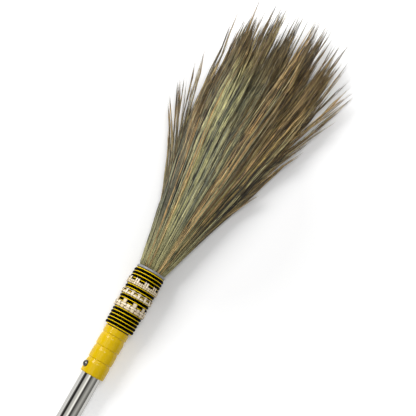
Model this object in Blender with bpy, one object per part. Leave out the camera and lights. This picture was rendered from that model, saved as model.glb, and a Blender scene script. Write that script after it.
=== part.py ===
"""A grass broom: a steel tube handle, a moulded neck with its windings, and a head of grass bundles.

The broom is built upright under one empty. +Z runs from the handle to the grass, and z = 0 is the lower
end of the neck sleeve. The front, -Y, is the side that faces up once the empty has laid the broom down.
"""

import math
import random

import bmesh
import bpy
from mathutils import Matrix, Vector

mm = 0.001

# Fits and facets
clearance = 0.3 * mm
overrun = 2.0 * mm
weld = 0.001 * mm
round_sides = 36
edge_steps = 3
smooth_angle = math.radians(35)

# Handle tube, a 1 inch stainless tube
tube_radius = 12.7 * mm
tube_wall = 0.9 * mm
handle_reach = 620 * mm

# End cap, which slips over the tube
cap_wall = 1.2 * mm
cap_skirt = 28 * mm
cap_floor = 2.5 * mm
cap_round = 1.5 * mm

# Neck sleeve
sleeve_length = 61 * mm
sleeve_wall = 2.3 * mm
sleeve_gain = 0.3 * mm
sleeve_round = 1.2 * mm
sleeve_edge = 0.5 * mm
stop_height = 5 * mm
stop_depth = 2 * mm
groove_place_shares = (0.30, 0.575, 0.85)
groove_width = 4.2 * mm
groove_depth = 1.1 * mm
groove_steps = 4

# Screw through the sleeve into the tube
screw_place_share = 0.155
screw_turn = math.radians(60)
seat_depth = 0.7 * mm
screw_head_radius = 3.9 * mm
screw_head_height = 2.4 * mm
screw_shank_radius = 1.9 * mm
screw_shank_length = 11 * mm
screw_point_length = 2.5 * mm
screw_point_radius = 0.3 * mm
screw_sides = 20
recess_reach = 2.1 * mm
recess_width = 0.9 * mm
recess_depth = 1.5 * mm
recess_taper_share = 0.55

# Neck ferrule, the core of the windings, with its spigot in the sleeve
spigot_length = 12 * mm
ferrule_wall = 1.2 * mm
ferrule_step = 1.6 * mm
ferrule_gain = 0.8 * mm
wound_length = 78 * mm
lip_height = 2.0 * mm
lip_reach = 3.4 * mm
lip_round = 0.7 * mm
flare_depth = 8 * mm
flare_gain = 2.6 * mm

# Cords, wound side by side as a double helix
black_radius = 1.40 * mm
yellow_radius = 0.62 * mm
first_rise = 3.9 * mm
cord_pitch = 4.41 * mm
points_per_turn = 13
yellow_lag = 0.5
least_cord_gap = 0.4 * mm

# Woven rings: name, where each starts and ends as shares of the wound length, and thickness
ring_table = (
    ("woven_ring_lower", (0.317, 0.462), 0.9 * mm),
    ("woven_ring_middle", (0.538, 0.623), 0.7 * mm),
    ("woven_ring_upper", (0.714, 0.824), 0.9 * mm),
)
ring_edge_share = 0.45
ring_steps = 6

# Grass bundles, whose roots stand in the ferrule as hexagons of a triangular pattern
bundle_row_counts = (2, 3, 4, 3)
strands_across = 3
grass_base_depth = 11 * mm
wire_radius = 0.25 * mm
wire_drop = 2.2 * mm
wire_sides = 24

# The fan of grass above the lip
fan_length = 396 * mm
fan_middle_share = 0.45
middle_half_width = 71 * mm
middle_rise = 27 * mm
middle_lean = 5 * mm
end_half_width = 106 * mm
end_rise = 24 * mm
end_lean = 14 * mm
edge_height_share = 0.5
tip_outline_shares = (
    (-1.0, 0.50), (-0.85, 0.68), (-0.6, 0.85), (-0.4, 0.93), (0.0, 0.98), (0.5, 0.97), (0.75, 0.87),
    (0.9, 0.68), (1.0, 0.50)
)
tip_spread_shares = (0.90, 1.04)
short_middle_share = 0.55
blunt_share = 0.80
clump_share = 0.90
tip_flare = 32 * mm
strand_width_shares = (0.62, 0.60)
wander_share = 0.10
grass_seed = 7

# Everything below follows from the sizes above.
sleeve_bore = tube_radius + clearance
sleeve_radius = sleeve_bore + sleeve_wall
spigot_radius = sleeve_bore - clearance
shoulder = sleeve_length + clearance
lip_under = shoulder + wound_length
lip_top = lip_under + lip_height
core_radius = spigot_radius + ferrule_step
ferrule_floor = shoulder + ferrule_wall
cap_radius = tube_radius + clearance + cap_wall
cap_end = -handle_reach - clearance - cap_floor
grass_base = lip_top - grass_base_depth
root_radius = core_radius - ferrule_wall - clearance
origin = (0, 0, 0)
along = (0, 0, 1)


def linear(channel):
    """One sRGB channel from 0 to 255 as a linear value."""
    value = channel / 255
    return value / 12.92 if value <= 0.04045 else ((value + 0.055) / 1.055) ** 2.4


def finish(name, colour, roughness, metallic=0.0):
    """A Principled material of one sRGB colour."""
    made = bpy.data.materials.new(name)
    made.use_nodes = True
    shader = made.node_tree.nodes["Principled BSDF"]
    shader.inputs["Base Color"].default_value = (*(linear(c) for c in colour), 1)
    shader.inputs["Roughness"].default_value = roughness
    shader.inputs["Metallic"].default_value = metallic
    return made


def added(name, data, material, parent):
    """An object for this mesh or curve, under the broom's empty."""
    made = bpy.data.objects.new(name, data)
    data.materials.append(material)
    bpy.context.scene.collection.objects.link(made)
    made.parent = parent
    return made


def solid(name, bm, material, parent):
    """An object from a closed bmesh, with its faces out and its round sides smooth."""
    bmesh.ops.remove_doubles(bm, verts=bm.verts, dist=weld)
    bmesh.ops.recalc_face_normals(bm, faces=bm.faces)
    mesh = bpy.data.meshes.new(name)
    bm.to_mesh(mesh)
    bm.free()
    mesh.shade_smooth()
    mesh.set_sharp_from_angle(angle=smooth_angle)
    return added(name, mesh, material, parent)


def turned(outline, closed, sides=round_sides):
    """A bmesh of an outline of (radius, height) turned round Z. The ends of an open one get flat discs."""
    bm = bmesh.new()
    points = [bm.verts.new((radius, 0, height)) for radius, height in outline]
    ends = points[1:] + points[:1] if closed else points[1:]
    edges = [bm.edges.new(pair) for pair in zip(points, ends)]
    bmesh.ops.spin(
        bm, geom=points + edges, cent=origin, axis=along, angle=math.tau, steps=sides, use_merge=True
    )
    bmesh.ops.remove_doubles(bm, verts=bm.verts, dist=weld)
    bmesh.ops.holes_fill(bm, edges=[e for e in bm.edges if e.is_boundary], sides=0)
    return bm


def arc(centre, radii, start, end, steps):
    """Points on an ellipse in the (radius, height) plane, from one angle in quarter turns to another."""
    turns = [math.pi / 2 * (start + (end - start) * i / steps) for i in range(steps + 1)]
    return [
        (centre[0] + radii[0] * math.cos(turn), centre[1] + radii[1] * math.sin(turn)) for turn in turns
    ]


def cutter(name, bm, parent):
    """A guide body that a Boolean cuts with, which is no piece of the broom."""
    made = solid(name, bm, finish(name, (255, 0, 0), 1.0), parent)
    made.hide_render = True
    made.display_type = "WIRE"
    return made


def cut(target, tool):
    boolean = target.modifiers.new("cut_" + tool.name, "BOOLEAN")
    boolean.operation = "DIFFERENCE"
    boolean.solver = "EXACT"
    boolean.object = tool


def aimed(made, direction, place):
    """Turns an object's own +Z to a direction and puts it at a place."""
    made.rotation_mode = "QUATERNION"
    made.rotation_quaternion = Vector(direction).to_track_quat("Z", "Y")
    made.location = place


def sleeve_skin(height):
    """The sleeve's outer radius, without its grooves."""
    return sleeve_radius + sleeve_gain * height / sleeve_length


def core_skin(height):
    """The ferrule's outer radius under the windings."""
    return core_radius + ferrule_gain * (height - shoulder) / wound_length


def handle_tube(parent):
    top = sleeve_length - spigot_length - stop_height - 2 * clearance
    inner = tube_radius - tube_wall
    outline = [(inner, top), (inner, -handle_reach), (tube_radius, -handle_reach), (tube_radius, top)]
    steel = finish("polished_steel", (200, 202, 205), 0.15, 1.0)
    return solid("handle_tube", turned(outline, closed=True), steel, parent)


def handle_end_cap(parent):
    bore = tube_radius + clearance
    rim = cap_end + cap_floor + cap_skirt
    outline = [(bore, cap_end + cap_floor), (bore, rim)]
    outline += arc((cap_radius - cap_wall / 2, rim), (cap_wall / 2, cap_wall / 2), 1, 0, edge_steps)
    outline += arc((cap_radius - cap_round, cap_end + cap_round), (cap_round, cap_round), 0, -1, edge_steps)
    plastic = finish("cap_plastic", (225, 190, 15), 0.4)
    return solid("handle_end_cap", turned(outline, closed=False), plastic, parent)


def groove(centre):
    """The outline of one groove round the sleeve, from its upper edge down."""
    points = []
    for i in range(groove_steps + 1):
        turn = math.pi * i / groove_steps
        height = centre + groove_width / 2 * math.cos(turn)
        points.append((sleeve_skin(height) - groove_depth * math.sin(turn), height))
    return points


def neck_sleeve(parent):
    socket_floor = sleeve_length - spigot_length - clearance
    stop_bore = sleeve_bore - stop_depth
    top_skin = sleeve_skin(sleeve_length)
    outline = [(sleeve_bore, 0), (sleeve_bore, socket_floor - stop_height)]
    outline += [(stop_bore, socket_floor - stop_height), (stop_bore, socket_floor)]
    outline += [(sleeve_bore, socket_floor), (sleeve_bore, sleeve_length)]
    outline += arc(
        (top_skin - sleeve_edge, sleeve_length - sleeve_edge), (sleeve_edge, sleeve_edge), 1, 0, edge_steps
    )
    for share in reversed(groove_place_shares):
        outline += groove(share * sleeve_length)
    outline += arc(
        (sleeve_radius - sleeve_round, sleeve_round), (sleeve_round, sleeve_round), 0, -1, edge_steps
    )
    plastic = finish("sleeve_plastic", (230, 195, 10), 0.25)
    return solid("neck_sleeve", turned(outline, closed=True), plastic, parent)


def cross_recess(parent):
    """The tapered cross that is cut into the screw's head."""
    bm = bmesh.new()
    half = recess_width / 2
    corners = [(recess_reach, -half), (recess_reach, half), (half, half)]
    ring = []
    for quarter in range(4):
        turn = Matrix.Rotation(quarter * math.pi / 2, 3, along)
        ring += [bm.verts.new(turn @ Vector((x, y, 0))) for x, y in corners]
    mouth = bm.faces.new(ring)
    sunk = bmesh.ops.extrude_face_region(bm, geom=[mouth])
    depth = recess_depth + overrun
    for vert in [item for item in sunk["geom"] if isinstance(item, bmesh.types.BMVert)]:
        vert.co = Vector((vert.co.x * recess_taper_share, vert.co.y * recess_taper_share, -depth))
    return cutter("screw_recess_cutter", bm, parent)


def sleeve_screw(parent, sleeve, tube):
    height = screw_place_share * sleeve_length
    direction = Vector((-math.sin(screw_turn), -math.cos(screw_turn), 0))
    seat = sleeve_skin(height) - seat_depth
    middle = Vector((0, 0, height))

    neck = -screw_shank_length + screw_point_length
    outline = [(screw_point_radius, -screw_shank_length), (screw_shank_radius, neck)]
    outline += [(screw_shank_radius, 0), (screw_head_radius, 0)]
    outline += arc((0, 0), (screw_head_radius, screw_head_height), 0.25, 0.9, edge_steps)
    steel = finish("screw_steel", (190, 190, 195), 0.25, 1.0)
    screw = solid("sleeve_screw", turned(outline, closed=False, sides=screw_sides), steel, parent)
    aimed(screw, direction, middle + direction * (seat + clearance))

    recess = cross_recess(parent)
    aimed(recess, direction, middle + direction * (seat + clearance + screw_head_height + overrun))
    cut(screw, recess)

    hole_radius = screw_shank_radius + clearance
    reach = sleeve_skin(height) + overrun
    inside = tube_radius - tube_wall - overrun
    hole_outline = [(hole_radius, inside), (hole_radius, reach)]
    hole = cutter("screw_hole_cutter", turned(hole_outline, closed=False, sides=screw_sides), parent)
    aimed(hole, direction, middle)
    cut(tube, hole)
    cut(sleeve, hole)

    seat_radius = screw_head_radius + 2 * clearance
    seat_outline = [(seat_radius, seat), (seat_radius, reach)]
    pocket = cutter("screw_seat_cutter", turned(seat_outline, closed=False, sides=screw_sides), parent)
    aimed(pocket, direction, middle)
    cut(sleeve, pocket)
    return screw


def neck_ferrule(parent):
    lip_radius = core_skin(lip_under) + lip_reach
    spigot_foot = shoulder - spigot_length
    spigot_inner = spigot_radius - ferrule_wall
    neck_bore = core_skin(lip_top - flare_depth) - ferrule_wall
    mouth = neck_bore + flare_gain
    outline = [(spigot_inner, shoulder), (spigot_inner, spigot_foot), (spigot_radius, spigot_foot)]
    outline += [(spigot_radius, shoulder), (core_radius, shoulder), (core_skin(lip_under), lip_under)]
    outline += arc(
        (lip_radius - lip_round, lip_under + lip_round), (lip_round, lip_round), -1, 0, edge_steps
    )
    outline += arc((lip_radius - lip_round, lip_top - lip_round), (lip_round, lip_round), 0, 1, edge_steps)
    outline += [(mouth, lip_top), (neck_bore, lip_top - flare_depth)]
    outline += [(core_skin(ferrule_floor) - ferrule_wall, ferrule_floor)]
    plastic = finish("ferrule_plastic", (130, 133, 145), 0.3)
    return solid("neck_ferrule", turned(outline, closed=False), plastic, parent)


def wound_height(turn):
    """How high the black cord lies after this many turns."""
    return shoulder + first_rise + cord_pitch * turn


def turn_at(height):
    """The turn at which wound_height gives this height."""
    return (height - shoulder - first_rise) / cord_pitch


def cord_centre(height, radius):
    """The radius of a cord's centre line, whose straight runs stay clear of the ferrule."""
    return (core_skin(height) + clearance + radius) / math.cos(math.pi / points_per_turn)


def winding_skin(height):
    """The outer radius of the black winding."""
    return cord_centre(height, black_radius) + black_radius


def least_gap(points, radius):
    """The least distance between a cord and its own neighbouring turns, measured on its points."""
    reach = points_per_turn // 2
    gaps = [
        (a - b).length - 2 * radius for i, a in enumerate(points) for b in points[i + reach : i + 3 * reach]
    ]
    return min(gaps)


def wound_cord(name, radius, lag, colour, parent):
    """One cord, wound from just above the sleeve to just below the lip."""
    first = turn_at(sleeve_length + clearance + radius)
    last = turn_at(lip_under - clearance - radius)
    steps = math.ceil((last - first) * points_per_turn)
    points = []
    for i in range(steps + 1):
        turn = first + (last - first) * i / steps
        height = wound_height(turn)
        centre = cord_centre(height, radius)
        angle = math.tau * (turn + lag)
        points.append(Vector((centre * math.sin(angle), -centre * math.cos(angle), height)))
    gap = least_gap(points, radius)
    print(name, "least gap to itself in mm:", round(gap / mm, 2), "enough:", gap > least_cord_gap)

    curve = bpy.data.curves.new(name, "CURVE")
    curve.dimensions = "3D"
    curve.twist_mode = "Z_UP"
    curve.bevel_depth = radius
    curve.bevel_resolution = 0
    curve.use_fill_caps = True
    spline = curve.splines.new("POLY")
    spline.points.add(len(points) - 1)
    for spline_point, place in zip(spline.points, points):
        spline_point.co = (*place, 1)
    return added(name, curve, finish(name + "_plastic", colour, 0.3), parent)


def woven_ring(name, shares, thickness, straw, parent):
    """A ring of woven strip, as a plain barrel over the windings."""
    low, high = (shoulder + share * wound_length for share in shares)
    inner = winding_skin(high) + clearance
    edge = ring_edge_share * thickness
    bulge = arc((inner + edge, (low + high) / 2), (thickness - edge, (high - low) / 2), -1, 1, ring_steps)
    outline = [(inner, high), (inner, low)] + bulge
    return solid(name, turned(outline, closed=True), straw, parent)


def bundle_centres():
    """Where the bundles stand, in steps of one bundle: (across, up) of a triangular pattern."""
    row_height = math.sqrt(3) / 2
    centres = []
    for row, count in enumerate(bundle_row_counts):
        for i in range(count):
            centres.append(Vector((i - (count - 1) / 2, -row * row_height)))
    middle = sum(centres, Vector((0, 0))) / len(centres)
    return [centre - middle for centre in centres]


def hexagon_corner(k):
    """A corner of a hexagon one unit across its flats, with flats to the left and right."""
    angle = math.pi / 6 + k * math.pi / 3
    return Vector((math.cos(angle), math.sin(angle))) / math.sqrt(3)


def resting_pitch():
    """The slope of the axis, as a tangent, with the end cap and the lowest woven ring on the floor."""
    contact = cap_end + cap_round
    slopes = []
    for name, shares, thickness in ring_table:
        height = shoulder + sum(shares) / 2 * wound_length
        radius = winding_skin(shoulder + shares[1] * wound_length) + clearance + thickness
        slopes.append((radius - cap_radius) / (height - contact))
    return max(slopes)


def floor_depth(height):
    """How far below the axis the floor lies, beside this height on the broom."""
    return cap_radius + resting_pitch() * (height - cap_end - cap_round)


def fan_maps(pattern):
    """The root's pattern of points as it is spread at the base, the middle and the end of the fan.

    Each map is (height, scale across, scale up, shift across, shift up, floor, thinning, clump share).
    The thinning flattens the fan onto the floor by the square of how far out a point stands.
    """
    lowest = min(corner.y for corner in pattern)
    highest = max(corner.y for corner in pattern)
    widest = max(corner.x for corner in pattern)
    thinning = (1 - edge_height_share) / widest ** 2
    maps = [(grass_base, 1, 1, 0, 0, 0, 0, 1)]
    spreads = (
        (fan_middle_share, middle_half_width, middle_rise, middle_lean),
        (1, end_half_width, end_rise, end_lean),
    )
    for share, half_width, rise, lean in spreads:
        height = lip_top + share * fan_length
        depth = floor_depth(height)
        up_scale = (rise + depth) / (highest - lowest)
        shift = -depth - lowest * up_scale
        maps.append((height, half_width / widest, up_scale, lean, shift, -depth, thinning, clump_share))
    return maps


def spread(level, centre, offset):
    """Where a point of one bundle lies in the fan at one level, as (x, y, z)."""
    height, across, up, lean, lift, floor, thinning, clump = level
    point = centre + offset * clump
    above = (point.y * up + lift - floor) * (1 - thinning * point.x ** 2)
    return Vector((point.x * across + lean, -(above + floor), height))


def tip_share(side):
    """How far a strand reaches, as a share of the fan's length, by how far out it stands, -1 to 1."""
    for (low, low_share), (high, high_share) in zip(tip_outline_shares, tip_outline_shares[1:]):
        if side <= high:
            part = max(0, (side - low) / (high - low))
            return low_share + (high_share - low_share) * part
    return tip_outline_shares[-1][1]


def strand(bm, root, centre, levels, widest, dice):
    """Grows one tapered strand out of a triangle of the root, through a middle and an end ring, to a tip.

    It curves outward by up to the tip flare, the more the further out the strand stands.
    """
    base_level, middle_level, end_level = levels
    corners = [Vector((v.co.x, -v.co.y)) - centre for v in root.verts]
    heart = sum(corners, Vector((0, 0))) / len(corners)
    reach = (corners[0] - heart).length
    turn = dice.uniform(0, math.tau)
    wander = Vector((math.cos(turn), math.sin(turn))) * reach * wander_share

    side = (centre + heart).x / widest
    length = fan_length * tip_share(side) * dice.uniform(*tip_spread_shares)
    tip_height = lip_top + length
    blunt_height = lip_top + length * blunt_share
    middle_height = min(middle_level[0], lip_top + length * short_middle_share)

    def place(height, offset):
        low, high = (base_level, middle_level) if height < middle_level[0] else (middle_level, end_level)
        part = (height - low[0]) / (high[0] - low[0])
        flare = tip_flare * side * ((height - lip_top) / length) ** 4
        return spread(low, centre, offset).lerp(spread(high, centre, offset), part) + Vector((flare, 0, 0))

    face = root
    for height, width in zip((middle_height, blunt_height), strand_width_shares):
        face = bmesh.ops.extrude_discrete_faces(bm, faces=[face])["faces"][0]
        for vert, corner in zip(face.verts, corners):
            vert.co = place(height, heart + wander + (corner - heart) * width)
    tip = bmesh.ops.poke(bm, faces=[face])["verts"][0]
    tip.co = place(tip_height, heart + wander)


def grass_bundle(name, centre, step, levels, widest, straw, dice, parent):
    """One bundle: a hexagonal block of stalk roots, with a strand on every other triangle of its top."""
    bm = bmesh.new()
    across = (step - clearance) / math.sqrt(3) / strands_across
    lean_way = Vector((math.cos(math.pi / 6), math.sin(math.pi / 6))) * across
    up_way = Vector((0, across))
    grid = {}
    counts = range(-strands_across, strands_across + 1)
    for i in counts:
        for j in counts:
            if abs(i + j) <= strands_across:
                point = centre + i * lean_way + j * up_way
                grid[i, j] = bm.verts.new((point.x, -point.y, grass_base))
    roots = []
    for i, j in grid:
        if (i + 1, j) in grid and (i, j + 1) in grid:
            roots.append(bm.faces.new((grid[i, j], grid[i + 1, j], grid[i, j + 1])))
        if (i - 1, j) in grid and (i, j - 1) in grid:
            bm.faces.new((grid[i, j], grid[i - 1, j], grid[i, j - 1]))

    foot = []
    for k in range(6):
        corner = centre + hexagon_corner(k) * (step - clearance)
        foot.append(bm.verts.new((corner.x, -corner.y, ferrule_floor + clearance)))
    bm.faces.new(foot)
    rim = [edge for edge in bm.edges if edge.is_boundary]
    bmesh.ops.bridge_loops(bm, edges=rim)
    bmesh.ops.triangulate(bm, faces=[face for face in bm.faces if len(face.verts) > 3 and not face.normal.z])

    for root in roots:
        strand(bm, root, centre, levels, widest, dice)
    bmesh.ops.triangulate(bm, faces=[face for face in bm.faces if len(face.verts) > 3])
    return solid(name, bm, straw, parent)


def grass_head(parent):
    """All the bundles, set out as a cluster that fits the ferrule's bore."""
    centres = bundle_centres()
    corners = [centre + hexagon_corner(k) for centre in centres for k in range(6)]
    step = root_radius / max(corner.length for corner in corners)
    pattern = [corner * step for corner in corners]
    levels = fan_maps(pattern)
    widest = max(corner.x for corner in pattern)
    straw = finish("dried_grass", (140, 135, 95), 0.7)
    dice = random.Random(grass_seed)
    for number, centre in enumerate(centres, 1):
        grass_bundle(
            f"grass_bundle_{number:02d}", centre * step, step, levels, widest, straw, dice, parent
        )


def root_binding_wire(parent):
    """The wire that ties the roots together, just below where the strands part."""
    centre = (root_radius + clearance + wire_radius, grass_base - wire_drop)
    outline = arc(centre, (wire_radius, wire_radius), 0, 4, 6)[:-1]
    steel = finish("binding_wire", (150, 150, 150), 0.4, 1.0)
    return solid("root_binding_wire", turned(outline, closed=True, sides=wire_sides), steel, parent)


def lay_down(broom):
    """Lays the broom along +Y on its end cap and woven ring, with the middle of its floor area at 0, 0."""
    broom.rotation_euler.x = math.atan(resting_pitch()) - math.pi / 2
    bpy.context.view_layer.update()
    graph = bpy.context.evaluated_depsgraph_get()
    corners = []
    for piece in broom.children:
        if piece.hide_render:
            continue
        shape = piece.evaluated_get(graph)
        mesh = shape.to_mesh()
        corners += [shape.matrix_world @ vert.co for vert in mesh.vertices]
        shape.to_mesh_clear()
    low = Vector([min(corner[i] for corner in corners) for i in range(3)])
    high = Vector([max(corner[i] for corner in corners) for i in range(3)])
    middle = (low + high) / 2
    broom.location = (-middle.x, -middle.y, -low.z)


def build():
    for item in list(bpy.data.objects):
        bpy.data.objects.remove(item)
    broom = bpy.data.objects.new("broom", None)
    bpy.context.scene.collection.objects.link(broom)

    tube = handle_tube(broom)
    sleeve = neck_sleeve(broom)
    handle_end_cap(broom)
    sleeve_screw(broom, sleeve, tube)
    neck_ferrule(broom)
    wound_cord("black_cord", black_radius, 0, (12, 12, 16), broom)
    wound_cord("yellow_cord", yellow_radius, yellow_lag, (250, 210, 0), broom)
    straw_strip = finish("woven_strip", (225, 205, 175), 0.6)
    for name, shares, thickness in ring_table:
        woven_ring(name, shares, thickness, straw_strip, broom)
    grass_head(broom)
    root_binding_wire(broom)
    lay_down(broom)


build()
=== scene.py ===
from math import atan, ceil, copysign, cos, inf, pi, radians, sin, sqrt, tau

import bmesh
import bpy
import numpy as np
from mathutils import Matrix, Vector


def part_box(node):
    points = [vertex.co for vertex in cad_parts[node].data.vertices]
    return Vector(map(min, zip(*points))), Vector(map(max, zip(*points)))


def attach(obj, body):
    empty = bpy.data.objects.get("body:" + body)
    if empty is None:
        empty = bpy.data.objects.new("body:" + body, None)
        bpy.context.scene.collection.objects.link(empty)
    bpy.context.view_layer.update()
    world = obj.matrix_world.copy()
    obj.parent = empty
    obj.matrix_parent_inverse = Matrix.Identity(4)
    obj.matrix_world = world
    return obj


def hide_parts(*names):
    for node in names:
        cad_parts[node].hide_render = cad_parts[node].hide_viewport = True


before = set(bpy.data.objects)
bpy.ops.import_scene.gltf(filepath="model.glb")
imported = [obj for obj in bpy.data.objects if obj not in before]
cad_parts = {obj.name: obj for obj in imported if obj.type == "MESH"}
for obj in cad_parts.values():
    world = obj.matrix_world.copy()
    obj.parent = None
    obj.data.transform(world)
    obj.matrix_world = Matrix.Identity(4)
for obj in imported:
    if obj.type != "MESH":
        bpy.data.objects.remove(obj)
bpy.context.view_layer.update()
mm = 0.001
fit = 0.3 * mm  # between pieces that slide together
print("frame loaded,", len(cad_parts), "nodes")


def radiusOf(node):
    low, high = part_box(node)
    return (high.x - low.x) / 2


tubeRadius = radiusOf("handle_tube")


# The broom's own axes: x across, y along it from the sleeve's lower end, z up.
def readBroomAxes():
    low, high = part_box("handle_tube")
    slope = (high.z - low.z - 2 * tubeRadius) / (high.y - low.y)
    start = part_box("neck_sleeve")[0].y + radiusOf("neck_sleeve") * slope
    height = low.z + tubeRadius + (start - low.y) * slope
    place = Matrix.Translation(((low.x + high.x) / 2, start, height))
    return place @ Matrix.Rotation(atan(slope), 4, "X")


broomAxes = readBroomAxes()
onBroom = broomAxes.inverted()


# Where a node starts and ends along the broom.
def reachOf(node):
    low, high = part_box(node)
    middle = (low + high) / 2
    return [(onBroom @ Vector((middle.x, end.y, middle.z))).y for end in (low, high)]


def linear(channel):
    value = channel / 255
    return value / 12.92 if value <= 0.04045 else ((value + 0.055) / 1.055) ** 2.4


def colour(red, green, blue):
    return (linear(red), linear(green), linear(blue), 1.0)


def smooth(value):
    value = np.clip(value, 0, 1)
    return value * value * (3 - 2 * value)


# The way out from the broom's axis, by the angle from its top.
def outwardAt(angle):
    return Vector((sin(angle), 0, cos(angle)))


# Part of a circle, in quarter turns from straight out (0) towards the grass (1).
def arcOf(centre, radius, first, last, steps):
    turns = [(first + (last - first) * i / steps) * pi / 2 for i in range(steps + 1)]
    return [(centre[0] + radius * cos(t), centre[1] + radius * sin(t)) for t in turns]


# Joins rings of points into a skin, looped back to the first ring or capped at both ends.
def joinRings(bm, rings, looped):
    faces = [] if looped else [bm.faces.new(rings[0]), bm.faces.new(rings[-1])]
    after = rings[1:] + rings[:1] if looped else rings[1:]
    for one, two in zip(rings, after):
        faces += [bm.faces.new((one[k - 1], one[k], two[k], two[k - 1])) for k in range(len(one))]
    bmesh.ops.recalc_face_normals(bm, faces=faces)


# Turns an outline of (radius, place along) round the broom's axis.
def turnedMesh(outline, sides, looped):
    bm = bmesh.new()
    rings = []
    for radius, along in outline:
        turns = [tau * k / sides for k in range(sides)]
        rings.append([bm.verts.new((radius * sin(t), along, radius * cos(t))) for t in turns])
    joinRings(bm, rings, looped)
    return bm


def meshOf(name, bm):
    mesh = bpy.data.meshes.new(name)
    bm.to_mesh(mesh)
    bm.free()
    return mesh


def addObject(name, data):
    made = bpy.data.objects.new(name, data)
    bpy.context.scene.collection.objects.link(made)
    return made


# A piece made in the broom's own axes, in place of the CAD nodes it stands for.
def placePiece(name, mesh, material, replaced):
    piece = addObject(name, mesh)
    mesh.materials.append(material)
    mesh.transform(broomAxes)
    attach(piece, "root")
    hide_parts(*replaced)
    return piece


def addPiece(name, bm, material, replaced, sharpAngle=35):
    for face in bm.faces:
        face.smooth = True
    for edge in bm.edges:
        edge.smooth = edge.calc_face_angle(0) <= radians(sharpAngle)
    return placePiece(name, meshOf(name, bm), material, replaced)


# A material, with its node tree and its shader's inputs.
def newMaterial(name):
    material = bpy.data.materials.new(name)
    material.use_nodes = True
    return material, material.node_tree, material.node_tree.nodes["Principled BSDF"].inputs


def addNode(tree, kind, links=(), **values):
    node = tree.nodes.new(kind)
    for name, value in values.items():
        setattr(node, name, value)
    for socket, source in links:
        if hasattr(source, "is_output"):
            tree.links.new(source, node.inputs[socket])
        else:
            node.inputs[socket].default_value = source
    return node


def maths(tree, operation, first, second=0.0, third=0.0):
    links = ((0, first), (1, second), (2, third))
    return addNode(tree, "ShaderNodeMath", links, operation=operation).outputs[0]


def blend(tree, first, second, share):
    other = maths(tree, "MULTIPLY", second, 1 - share)
    return maths(tree, "ADD", maths(tree, "MULTIPLY", first, share), other)


def noiseOf(tree, vector, scale, detail, roughness):
    links = (("Vector", vector), ("Scale", scale), ("Detail", detail), ("Roughness", roughness))
    return addNode(tree, "ShaderNodeTexNoise", links).outputs["Fac"]


def remap(tree, value, fromLow, fromHigh, toLow, toHigh):
    links = ((0, value), (1, fromLow), (2, fromHigh), (3, toLow), (4, toHigh))
    return addNode(tree, "ShaderNodeMapRange", links).outputs[0]


def placeOnBroom(tree):
    return addNode(tree, "ShaderNodeTexCoord").outputs["Object"]


# What a group puts out: its colour shaded by a factor, its roughness and a bumped normal.
def surfaceOf(tree, given, factor, rougher, height):
    links = ((0, given["Colour"]), (3, factor))
    shaded = addNode(tree, "ShaderNodeVectorMath", links, operation="SCALE").outputs[0]
    rough = maths(tree, "ADD", given["Roughness"], rougher)
    links = (("Strength", given["Relief"]), ("Distance", 0.2 * mm), ("Height", height))
    bump = addNode(tree, "ShaderNodeBump", links).outputs["Normal"]
    return {"Colour": shaded, "Roughness": rough, "Normal": bump}


# A node group with the named inputs; fill() lays its nodes.
def newGroup(name, inputs, fill):
    group = bpy.data.node_groups.new(name, "ShaderNodeTree")
    kinds = {"Colour": "NodeSocketColor", "Stretch": "NodeSocketVector", "Normal": "NodeSocketVector"}
    for way, sockets in (("INPUT", inputs), ("OUTPUT", ("Colour", "Roughness", "Normal"))):
        for socket in sockets:
            kind = kinds.get(socket, "NodeSocketFloat")
            group.interface.new_socket(socket, in_out=way, socket_type=kind)
    given = group.nodes.new("NodeGroupInput").outputs
    result = group.nodes.new("NodeGroupOutput").inputs
    for socket, source in fill(group, given).items():
        group.links.new(source, result[socket])
    return group


fibreLook = {"fineDetail": 4.0, "fineRoughness": 0.6, "broadScale": 0.27, "fineShare": 0.6, "roughens": 0.25}


# Fine lines, in lightness and height: the cane's fibre and the steel's brushed skin.
def fillFibre(tree, given):
    look = fibreLook
    links = ((0, placeOnBroom(tree)), (1, given["Stretch"]))
    stretched = addNode(tree, "ShaderNodeVectorMath", links, operation="MULTIPLY").outputs[0]
    fine = noiseOf(tree, stretched, 1.0, look["fineDetail"], look["fineRoughness"])
    broad = noiseOf(tree, stretched, look["broadScale"], 2.0, 0.5)
    both = blend(tree, fine, broad, look["fineShare"])
    swing = maths(tree, "MULTIPLY", maths(tree, "SUBTRACT", both, 0.5), given["Contrast"])
    rougher = maths(tree, "MULTIPLY", swing, look["roughens"])
    return surfaceOf(tree, given, maths(tree, "ADD", 1.0, swing), rougher, fine)


mouldedLook = {"driftScale": 38.0, "pale": 1.04, "deep": 0.93, "rubScale": 240.0, "rubRoughness": 0.16}


# Moulded plastic: a faint ripple, slow colour drift, and rubbed spots that are duller.
def fillMoulded(tree, given):
    look = mouldedLook
    place = placeOnBroom(tree)
    drift = noiseOf(tree, place, look["driftScale"], 2.0, 0.5)
    ripple = noiseOf(tree, place, given["Ripple Scale"], 2.0, 0.5)
    rubbed = noiseOf(tree, place, look["rubScale"], 6.0, 0.7)
    factor = remap(tree, drift, 0.3, 0.7, look["pale"], look["deep"])
    rougher = remap(tree, rubbed, 0.45, 0.75, 0.0, look["rubRoughness"])
    return surfaceOf(tree, given, factor, rougher, ripple)


# How often the streaks change in a metre, and how far apart the strands read the noise.
streakLook = {
    "long": 14.0, "short": 110.0, "patches": 30.0, "longShare": 0.6, "roughens": 0.1, "apart": 400.0,
}


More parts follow.
